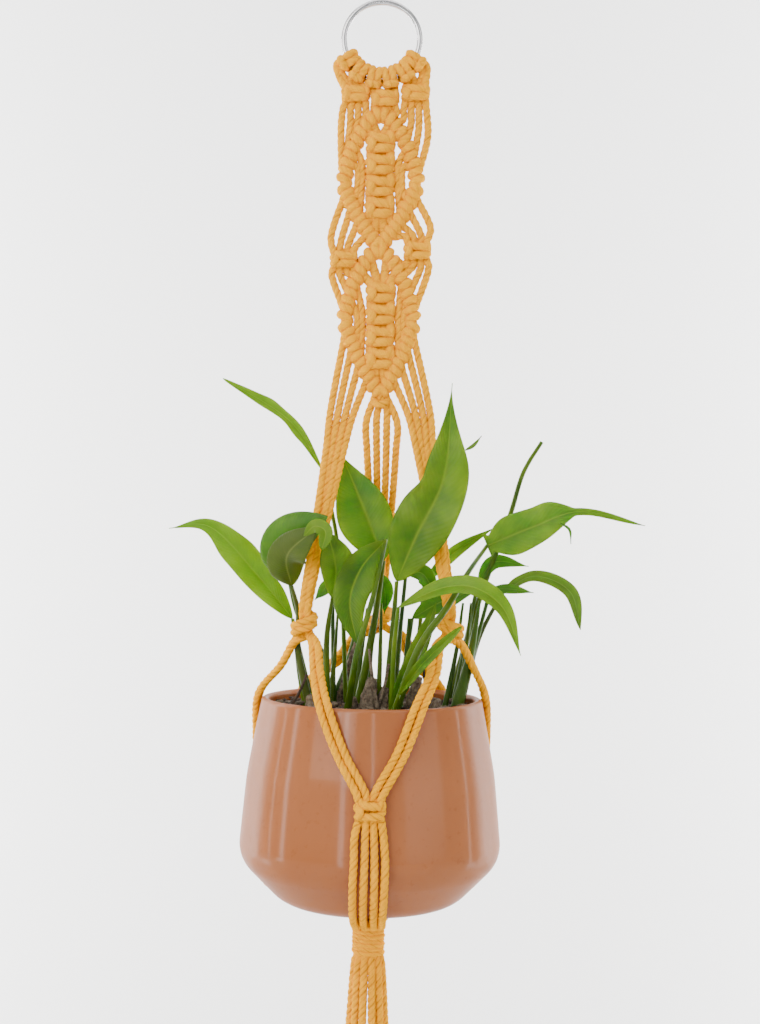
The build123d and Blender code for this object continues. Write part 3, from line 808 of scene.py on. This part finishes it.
def nurbs_line(name, points):
    """Points read from a smooth NURBS curve whose control points are given in metres."""
    curve = bpy.data.curves.new(name, "CURVE")
    curve.dimensions = "3D"
    curve.resolution_u = 24
    spline = curve.splines.new("NURBS")
    spline.points.add(len(points) - 1)
    for target, point in zip(spline.points, points):
        target.co = (*point, 1)
    spline.order_u = 3
    spline.use_endpoint_u = True
    holder = put(name, curve)
    bpy.context.view_layer.update()
    mesh = bpy.data.meshes.new_from_object(holder)
    line = [tuple(v.co) for v in mesh.vertices]
    bpy.data.objects.remove(holder)
    bpy.data.meshes.remove(mesh)
    return line


for number, (first_z, *below) in enumerate(TASSEL, start=1):
    azimuth = 30 * number - 15
    # the start inside the wrap, then the first free point
    start = [(5.4, -584), (7.4, -589.5), (9, TASSEL_TOP), (11.2 if number % 2 else 10.8, first_z)]
    control = []
    for radius, direction, z in [*((radius, azimuth, z) for radius, z in start), *below]:
        x, w, _ = polar(radius, direction, z)
        control.append((x * MM, -w * MM, z * MM))
    path = nurbs_line(f"tassel_route_{number:02d}", control)
    line, _ = smooth(np.array(path) / MM, STEP)
    length = float(arc_length(line)[-1]) * MM
    rope = Rope()
    # a cut end flares a little as its plies let go
    from_end = np.arange(len(line))[::-1] * STEP
    rope.add(line, TASSEL_RADIUS * (1 + 0.16 * np.exp(-from_end / 3)), rng.uniform(0, LAY), 0.15)
    piece = rope.make(f"tassel_cord_{number:02d}")
    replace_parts(piece, f"tassel_strand_{number:02d}")
    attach(piece, "tassel")


# Plant ------------


BLADE_STEP = 1.6
BLADE_THICKNESS = 0.5
LANES = 17  # points across a blade
STALK_SIDES = 12


def lance(share, widest, point, until=1):
    """A blade's width, 0 to 1, along its length: rounded to its widest place, then drawn to a point."""
    share = min(share / until, 1)
    if share < widest:
        return sin(pi / 2 * share / widest) ** 0.7
    return max(cos(pi / 2 * (share - widest) / (1 - widest)), 0) ** point


def above_soil(points):
    return [(x, y, SOIL_Z + height) for x, y, height in points]


class Foliage(Shell):
    """Gathers closed blades and stalks and makes one object of them."""

    def add(self, rings, values):
        self.close(rings, values, (values[0][0], values[-1][0]), False)

    def blade(self, midrib, width, widest=0.4, point=1.3, until=1, bias=0, tail=0, neck=0, fold=0.3,
              curl=-0.15, wave=0.06, margins=(), facing=(0, -1, 0.3)):
        """A leaf blade along its midrib, which is given from the neck to the tip. margins are (side, place,
        growth): where one edge stands out, or in if growth is below zero."""
        line, _ = smooth(midrib, BLADE_STEP)
        tangent, _, _ = frames(line)
        facing = np.array(facing, float)
        total = BLADE_STEP * len(line)
        phase = rng.uniform(0, 6)
        rings, values = [], []
        for k, middle in enumerate(line):
            share = k / (len(line) - 1)
            across = np.cross(tangent[k], facing)
            across /= np.linalg.norm(across)
            normal = np.cross(tangent[k], across)
            normal *= np.sign(np.dot(normal, facing))
            half = max(width * lance(share, widest, point, until), tail * (1 - share**6))
            half = max(half, neck - 90 * share, 0.25)
            edge = {-1: 1, 1: 1}
            for side, centre, growth in margins:
                edge[side] += growth * exp(-(((share - centre) / 0.09) ** 2))
            top, bottom, row = [], [], []
            for u in np.linspace(-1, 1, LANES):
                reach = half * (1 + bias * u) * edge[1 if u > 0 else -1]
                ripple = wave * sin(0.16 * total * share + phase + (1.7 if u > 0 else 0)) * u * u
                depth = (fold * abs(u) + curl * u * u + ripple) * half
                skin = BLADE_THICKNESS * (0.5 - 0.3 * abs(u))
                rib = 0.35 * exp(-((u / 0.07) ** 2)) * (1 - share)
                surface = middle + across * u * reach + normal * depth
                top.append(surface + normal * skin)
                bottom.append(surface - normal * (skin + rib))
                row.append((u, share, 0))
            rings.append(top + bottom[::-1])
            values.append(row + row[::-1])
        self.add(rings, values)

    def stalk(self, points, radii, channel=0):
        """A tapering stalk through points, with a radius at its start and end, flattened by channel."""
        line, place = smooth(points, 2)
        _, across, other = frames(line)
        grow = np.interp(place, [0, len(points) - 1], radii)
        rings, values = [], []
        for p, n, b, r, share in zip(line, across, other, grow, np.linspace(0, 1, len(line))):
            radius = np.full(STALK_SIDES, r)
            rings.append(circle(p, n, b, radius, radius * (1 - channel)))
            values.append([(0.5, share * 0.02, 0)] * STALK_SIDES)
        self.add(rings[::-1], values[::-1])

    def make(self, name, material):
        obj = new_object(name, self.vertices, self.faces, material, "blade", self.values)
        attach(obj, "pot")
        return obj


# name: (material, half width, stalk, midrib from the neck to the tip, other settings of the blade).
# Points are (x, y, height above the potting mix), with y away from the viewer.
# leaf_03 wears the darkened leaf colour as painted shade; leaf_01, leaf_02 and leaf_08 wear the lightened one
# as painted light
LEAVES = {
    "leaf_01": (LEAF_PAINTED_LIGHT, 3.2, [(-16, 8, 0), (-22, 8, 95)], [(-32, 8, 146), (-53, 5, 177), (-95, -5, 203)],
        dict(widest=0.5, point=0.55, fold=0.5, wave=0.4, margins=((1, 0.62, 0.5), (-1, 0.35, 0.4)))),
    "leaf_02": (LEAF_PAINTED_LIGHT, 10, [(-37, 0, 0)],
        [(-50, 0, 55), (-72, -4, 82), (-103, -10, 112), (-126, -12, 110)],
        dict(point=1.4, wave=0.16, margins=((1, 0.3, -0.25), (1, 0.5, 0.1), (-1, 0.6, 0.12)))),
    "leaf_03": (LEAF_PAINTED_SHADE, 14.5, [(-29, -6, 0), (-32, -7, 35), (-46, -9, 58)],
        [(-52, -12, 80), (-53, -26, 101), (-28, -38, 119)],
        dict(widest=0.45, point=0.8, fold=0.5, curl=-0.5, bias=-0.1)),
    "leaf_04": (LEAF, 17, [(-9, -12, 0), (1, -16, 56)], [(6, -6, 92), (-6, 0, 122), (-21, 5, 157)],
        dict(point=1.2, bias=-0.1)),
    "leaf_05": (LEAF, 10.5, [(-27, -14, 0), (-28, -16, 45)],
        [(-25, -17, 69), (-23, -21, 87), (-29, -25, 112)],
        dict(widest=0.5, bias=0.1)),
    "leaf_06": (LEAF, 11, [(-15, -24, 0), (-9, -43, 38), (0, -38, 72)],
        [(7, -14, 105), (-8, -25, 87), (-14, -31, 68), (-9, -36, 42)],
        dict(widest=0.5, point=0.9, margins=((-1, 0.45, 0.15),))),
    "leaf_07": (LEAF, 18, [(9, -12, 0)], [(14, -24, 80), (25, -29, 107), (41, -29, 142), (46, -21, 201)],
        dict(widest=0.34, point=1.75, wave=0.12, margins=((-1, 0.5, -0.22), (1, 0.62, 0.12)))),
    "leaf_08": (LEAF_PAINTED_LIGHT, 6.4, [(12, -26, 0), (13, -31, 40)],
        [(15, -36, 65), (43, -48, 78), (60, -54, 78), (76, -56, 67), (87, -58, 39)],
        dict(widest=0.5, point=1.1, fold=0.5, facing=(0, -1, 0.6))),
    "leaf_09": (LEAF, 13, [(13, -38, 0), (29, -44, 44), (44, -44, 66), (56, -31, 85)],
        [(70, 2, 102), (98, 0, 114), (126, -3, 124), (167, -5, 116)],
        dict(widest=0.3, point=0.8, until=0.6, tail=2.5, neck=8.5, curl=-0.25, margins=((-1, 0.46, 0.35),))),
    "leaf_10": (LEAF_OLIVE, 4.4, [(56, 14, 0), (67, 15, 44)],
        [(80, 15, 71), (100, 15, 83), (123, 14, 74), (130, 11, 50)],
        dict(widest=0.64, point=0.8, fold=0.45, margins=((-1, 0.12, 0.8),))),
    "leaf_11": (LEAF, 3.4, [(12, -44, 0)], [(16, -48, 14), (30, -60, 34), (52, -63, 56)],
        dict(widest=0.5, point=0.5, fold=0.7)),
}
# most young leaves here sit deep in the clump and wear the darkened leaf colour as painted shade; leaf_03_tip
# wears the lightened one as painted light
YOUNG = {
    "leaf_03_underside": (LEAF_OLIVE, 12, [(-38, -8, 0), (-46, -10, 38), (-46, -13, 60)],
        [(-50, -18, 76), (-52, -33, 95), (-34, -43, 112)],
        dict(widest=0.42, point=0.8, curl=-0.4)),
    "leaf_03_tip": (LEAF_PAINTED_LIGHT, 4.6, [], [(-42, -40, 107), (-35, -43, 113), (-29, -45, 110), (-31, -46, 99)],
        dict(widest=0.5, point=0.5)),
    "leaf_07_spur": (LEAF_OLIVE, 1.2, [], [(54, -26, 160), (59, -27, 163), (64, -27, 169)]),
    "leaf_09_hook": (LEAF_PAINTED_SHADE, 0.9, [], [(114, -6, 117), (120, -7, 113), (121, -8, 104)]),
    "sheath_leaf": (LEAF, 5.5, [], [(10, -31, 0), (20, -34, 22), (30, -33, 46), (38, -30, 68)],
        dict(widest=0.5, point=0.8, fold=0.45)),
    "young_leaf_narrow": (LEAF, 4.2, [(25, 18, 0)], [(32, 22, 78), (52, 22, 98), (77, 20, 114)]),
    "young_leaf_small": (LEAF_PAINTED_SHADE, 4.6, [(51, 20, 0)], [(66, 25, 78), (76, 25, 91), (98, 23, 89)]),
    "young_leaf_tipped": (LEAF_PAINTED_SHADE, 3.2, [(54, 4, 0)], [(73, 8, 75), (86, 8, 75), (100, 8, 73)]),
    "young_leaf_shaded": (LEAF_PAINTED_SHADE, 6.4, [(16, -9, 0)], [(24, -10, 57), (42, -3, 67), (66, 4, 75)]),
    "young_leaf_left": (LEAF_PAINTED_SHADE, 4, [(-24, 12, 0)], [(-26, 12, 80), (-31, 14, 73), (-37, 16, 66)]),
    "young_leaf_back": (LEAF_PAINTED_SHADE, 6, [(13, 14, 0)], [(20, 7, 84), (30, 9, 84), (40, 13, 68)]),
    "young_leaf_middle": (LEAF_PAINTED_SHADE, 5.6, [(-4, 10, 0)], [(3, 10, 84), (7, 13, 72), (7, 16, 58)]),
}


def grow(name, material, width, stalk, midrib, settings=None):
    """One leaf on its stalk."""
    foliage = Foliage()
    midrib = above_soil(midrib)
    foliage.blade(midrib, width, **(settings or {}))
    if stalk:
        foliage.stalk([*above_soil(stalk), midrib[0]], (1.2 + 0.11 * width, 1.2))
    return foliage.make(name, material)


for name, spec in LEAVES.items():
    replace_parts(grow(f"{name}_blade", *spec), name)
for name, spec in YOUNG.items():
    grow(name, *spec)

shoot = Foliage()
shoot.stalk(above_soil([(48, 24, 0), (68, 26, 70), (86, 24, 122), (94, 23, 149), (105, 22, 168)]), (2.1, 1.2))
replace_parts(shoot.make("rolled_shoot", LEAF), "young_leaves")

# stalks whose leaves are hidden or gone: x and y of the foot, x, y and height of the top, radius at the foot
STEMS = {
    "stems_bright": (LEAF, [
        (-26, -9, -22, -4, 58, 1.9), (-12, 2, -4, 4, 62, 1.7), (53, 7, 61, 8, 66, 1.7),
        (4, -18, 5, -10, 66, 2), (-41, -4, -48, -2, 40, 1.6),
    ]),
    # stalks in the shade of the clump, in the darkened leaf colour: painted shade
    "stems_dark": (LEAF_PAINTED_SHADE, [
        (-24, 14, -11, 20, 47, 3.9), (52, -3, 66, 0, 68, 4), (45, 2, 56, 8, 66, 1.9),
        (17, -12, 22, -10, 57, 1.8), (13, 14, 18, 20, 56, 2.2), (-33, 20, -30, 24, 38, 2.2),
        (27, 31, 30, 34, 42, 2.2),
    ]),
    "dry_stalks": (BARK, [
        (4, -26, -2, -24, 39, 1.5), (3, -24, 10, -22, 30, 1.1), (30, -14, 22, -8, 50, 1.2),
    ]),
    "twigs": (SOIL, [
        (-51, -12, -40, -16, 22, 1), (34, -20, 31, -16, 34, 0.9), (51, 22, 60, 16, 12, 1),
    ]),
}
for name, (material, group) in STEMS.items():
    stems = Foliage()
    for x, y, top_x, top_y, height, radius in group:
        bowed = (0.35 * x + 0.65 * top_x, 0.4 * y + 0.6 * top_y, 0.55 * height)
        stems.stalk(above_soil([(x, y, 0), bowed, (top_x, top_y, height)]), (radius, 0.8), 0.15)
    stems.make(name, material)

# Potting mix, bark and roots ------------

SOIL_SIDES = 96
SOIL_RINGS = 30
SOIL_RADIUS = RIM_RADIUS - 4.4


def lumps(x, y):
    """A repeatable bumpy height for the potting mix."""
    return (
        1.3 * sin(0.31 * x + 1.1) * cos(0.27 * y)
        + 0.8 * sin(0.83 * x - 0.6 * y)
        + 0.5 * cos(1.9 * x + 1.3 * y)
        + 0.4 * sin(2.7 * y - 1.1 * x)
    )


def ground(name, vertices, faces, material):
    obj = new_object(name, vertices, faces, material)
    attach(obj, "pot")
    return obj


def potting_mix():
    """A lumpy disc with a plain rim and bottom, in rings from the middle outwards."""
    vertices, faces = [(0, 0, SOIL_Z)], []
    for i in range(1, SOIL_RINGS + 1):
        r = SOIL_RADIUS * i / SOIL_RINGS
        for k in range(SOIL_SIDES):
            a = tau * k / SOIL_SIDES
            x, y = r * cos(a), r * sin(a)
            vertices.append((x, y, SOIL_Z + 0.6 + lumps(x, y) + 1.6 * (1 - (r / SOIL_RADIUS) ** 2)))
    vertices.extend((x, y, SOIL_Z - 10) for x, y, _ in vertices[-SOIL_SIDES:])
    for k in range(SOIL_SIDES):
        faces.append((0, 1 + k, 1 + (k + 1) % SOIL_SIDES))
    for i in range(SOIL_RINGS):
        for k in range(SOIL_SIDES):
            a, b = 1 + i * SOIL_SIDES + k, 1 + i * SOIL_SIDES + (k + 1) % SOIL_SIDES
            faces.append((a, a + SOIL_SIDES, b + SOIL_SIDES, b))
    faces.append(tuple(range(len(vertices) - 1, len(vertices) - 1 - SOIL_SIDES, -1)))
    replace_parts(ground("potting_mix_surface", vertices, faces, SOIL), "soil")


potting_mix()


def crumbs(name, count, sizes, material, height, spread=58):
    """Irregular pieces of bark or grit lying on the potting mix."""
    build = bmesh.new()
    bmesh.ops.create_icosphere(build, subdivisions=2, radius=1)
    ball = [v.co.normalized() for v in build.verts]
    triangles = [[v.index for v in face.verts] for face in build.faces]
    build.free()
    vertices, faces = [], []
    for _ in range(count):
        r, a = spread * sqrt(rng.random()), rng.uniform(0, tau)
        x, y = r * cos(a), r * sin(a)
        size = rng.uniform(*sizes)
        centre = Vector((x, y, SOIL_Z + 0.8 + lumps(x, y) + size * 0.35 + height * rng.random()))
        stretch = [size * rng.uniform(*limits) for limits in ((0.7, 1.6), (0.6, 1.2), (0.35, 0.7))]
        turn, tilt, seed = rng.uniform(0, 6.28), rng.uniform(-0.6, 0.6), rng.uniform(0, 9)
        pose = Matrix.Rotation(turn, 3, "Z") @ Matrix.Rotation(tilt, 3, "X") @ Matrix.Diagonal(stretch)
        faces.extend([len(vertices) + k for k in face] for face in triangles)
        for p in ball:
            rough = 1 + 0.22 * sin(5 * p.x + seed) * cos(6 * p.y + 2 * seed)
            vertices.append(centre + pose @ (p * rough))
    ground(name, vertices, faces, material)


crumbs("bark_chips", 130, (1.6, 3.6), BARK, 1.5)
crumbs("soil_crumbs", 260, (0.8, 1.9), SOIL, 1, 61)

# old leaf bases: rough mossy stubs among the stalks, as (x, y, height, lean to the right, radius)
STUBS = [
    (-21, 14, 40, 11, 3.4), (-3, -22, 21, 3, 5.6), (5, -19, 15, 3, 4.2), (24, -18, 22, 4, 5),
    (-36, -14, 9, -2, 4.4), (38, -24, 9, 2, 4.2), (-12, -20, 9, 1, 3.6),
]
STUB_SIDES = 20
stubs = Foliage()
for x, y, height, lean, size in STUBS:
    points = [(x, y, 0), (x + 0.6 * lean, y, 0.6 * height), (x + lean, y - 1, height)]
    line, _ = smooth(above_soil(points), 1.2)
    _, across, other = frames(line)
    rings = []
    for k, (p, n, b) in enumerate(zip(line, across, other)):
        a = np.arange(STUB_SIDES) * tau / STUB_SIDES
        rough = 1 + 0.08 * np.sin(3 * a + 0.9 * k) + 0.1 * np.sin(7 * a - 1.7 * k) * cos(2.3 * k)
        r = size * (1 - 0.5 * (k / (len(line) - 1)) ** 1.5) * rough
        rings.append(circle(p, n, b, r, r))
    stubs.add(rings[::-1], [[(0, 0, 0)] * STUB_SIDES] * len(rings))
ground("old_leaf_bases", stubs.vertices, stubs.faces, BARK)

ROOTS = 46
ROOT_LIMIT = 60  # from the pot's axis
roots = Foliage()
for _ in range(ROOTS):
    r, a = rng.uniform(15, ROOT_LIMIT), rng.uniform(0, tau)
    x, y = r * cos(a), r * sin(a)
    lean = rng.uniform(0, tau)
    reach = rng.uniform(4, 11)
    z = SOIL_Z + 1 + lumps(x, y)
    points = [(x, y, z - 2)]
    for step in (0.5, 1):
        u, v = x + reach * step * cos(lean), y + reach * step * sin(lean)
        inwards = min(ROOT_LIMIT / hypot(u, v), 1)
        points.append((u * inwards, v * inwards, z + rng.uniform(0.5, 3.5) * (1.4 - step)))
    roots.stalk(points, (rng.uniform(0.35, 0.6), 0.25))
ground("fine_roots", roots.vertices, roots.faces, BARK)

# Stage, light and camera: metres from here on ------------


def stage_material(name, colour):
    """A plain matt colour, clear from behind, so that the backdrop doesn't hide the object's back."""
    skin = Skin(name, Roughness=0.9, Specular_IOR_Level=0.1)
    soft = tuple(c * 0.985 for c in colour)
    skin.feed(Base_Color=skin.ramp(skin.noise(skin.place(), 1.2, 1), (0.3, soft), (0.7, colour)))
    behind = skin.node("NewGeometry").outputs["Backfacing"]
    clear = skin.node("BsdfTransparent").outputs[0]
    sides = skin.node("MixShader", {0: behind, 1: skin.shader.outputs[0], 2: clear})
    skin.connect(skin.material.node_tree.nodes["Material Output"].inputs["Surface"], sides.outputs[0])
    return skin.material


def panel(name, corners, material):
    mesh = bpy.data.meshes.new(name)
    mesh.from_pydata(corners, [], [(0, 1, 2, 3)])
    mesh.materials.append(material)
    put(name, mesh)


FLOOR_Z = -0.95
BACK_Y = 0.75
SIDE = 3
TOP_Z = 2.2
near = [(-SIDE, -SIDE, FLOOR_Z), (SIDE, -SIDE, FLOOR_Z)]
edge = [(SIDE, BACK_Y, FLOOR_Z), (-SIDE, BACK_Y, FLOOR_Z)]
far = [(SIDE, BACK_Y, TOP_Z), (-SIDE, BACK_Y, TOP_Z)]
panel("floor", [*near, *edge], stage_material("pale_floor", (0.62, 0.62, 0.62)))
panel("backdrop", [*edge[::-1], *far], stage_material("pale_wall", (0.93, 0.93, 0.925)))


def softbox(name, place, target, size, power, colour=WHITE):
    light = bpy.data.lights.new(name, "AREA")
    light.shape = "RECTANGLE"
    light.size, light.size_y = size
    light.energy = power
    light.color = colour
    obj = put(name, light)
    obj.location = place
    obj.rotation_euler = (Vector(target) - Vector(place)).to_track_quat("-Z", "Y").to_euler()


# place, target, size, power and colour, in metres and watts
softbox("key", (-1.5, -2, 0.9), (0, 0, -0.22), (2.2, 2), 66, (1, 0.985, 0.96))
softbox("fill", (2.1, -1.8, 0.45), (0, 0, -0.25), (2, 2.2), 26)
softbox("top", (0, -0.3, 1.9), (0, 0, -0.3), (2.4, 2), 30)
for side in (-1, 1):
    softbox(f"wall_wash_{side + 1}", (1.3 * side, 0.12, -0.3), (1.2 * side, BACK_Y, -0.3), (0.6, 1.2), 80)
# windows whose reflections stand on the glaze: (degrees round from the front, height, width, length, power)
WINDOWS = [
    (-24, -0.3, 0.14, 1.1, 4.2), (-80, -0.25, 0.12, 1.3, 5.6), (2, -0.25, 0.05, 0.5, 0.9),
    (-36, 0, 0.3, 0.08, 1.2), (-84, -0.86, 0.1, 0.12, 0.4), (-116, -0.8, 0.12, 0.16, 0.5),
]
WINDOW_DISTANCE = 1.7
POT_MIDDLE_Z = -0.48
for number, (angle, height, width, length, power) in enumerate(WINDOWS):
    away = radians(angle)
    place = (WINDOW_DISTANCE * sin(away), -WINDOW_DISTANCE * cos(away), height)
    softbox(f"window_{number}", place, (0, 0, POT_MIDDLE_Z), (width, length), power)

world = bpy.data.worlds.new("studio")
bpy.context.scene.world = world
world.use_nodes = True
sky = world.node_tree.nodes["Background"].inputs
sky["Color"].default_value = (0.93, 0.94, 0.96, 1)
sky["Strength"].default_value = 0.69

camera_data = bpy.data.cameras.new("camera")
camera_data.lens = 59.87
camera_data.sensor_width = 36
camera_data.clip_end = 50
camera = put("camera", camera_data)
camera.location = (0.00324, -1.056, -0.314)
camera.rotation_euler = (radians(90), radians(-0.878), 0)
bpy.context.scene.camera = camera
